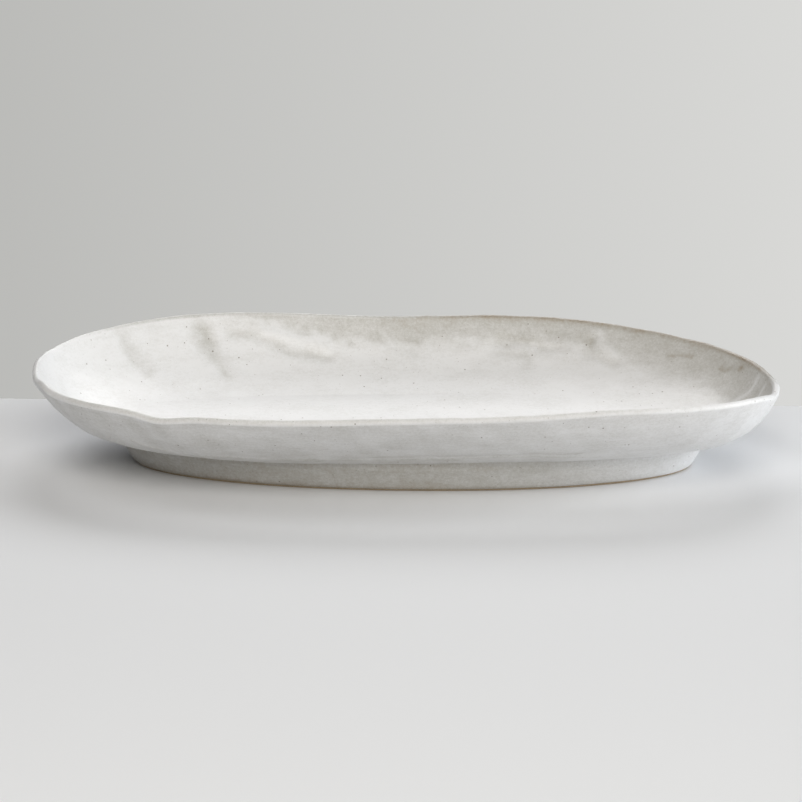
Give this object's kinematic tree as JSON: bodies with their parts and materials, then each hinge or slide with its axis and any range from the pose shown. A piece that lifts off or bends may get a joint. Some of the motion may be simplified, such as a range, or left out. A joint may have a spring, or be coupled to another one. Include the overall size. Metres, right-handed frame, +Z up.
{
  "type": "serving platter",
  "caption": "Oval stoneware serving platter with a deep flared wall, a softly swelling rim and a low foot ring.",
  "frame": {"origin": "on the table plane, under the middle of the rim's oval", "axes": "+X along the length, towards the end that the foot sits nearer to; +Z up; the front faces -Y"},
  "size_m": [0.471, 0.2702, 0.068],
  "materials": {
    "stoneware_clay": "bare fired stoneware, matt tan with fine grog",
    "white_glaze": "satin white reactive glaze with sparse iron specks, warm where it runs thin",
    "rim_glaze": "the same glaze run thin over the lip, so that the tan clay shows through"
  },
  "bodies": {
    "root": {"platter_body": "stoneware_clay", "foot_ring": "stoneware_clay", "well_glaze": "white_glaze", "rim_glaze": "rim_glaze", "wall_glaze": "white_glaze", "foot_glaze": "white_glaze", "base_glaze": "white_glaze"}
  },
  "joints": []
}
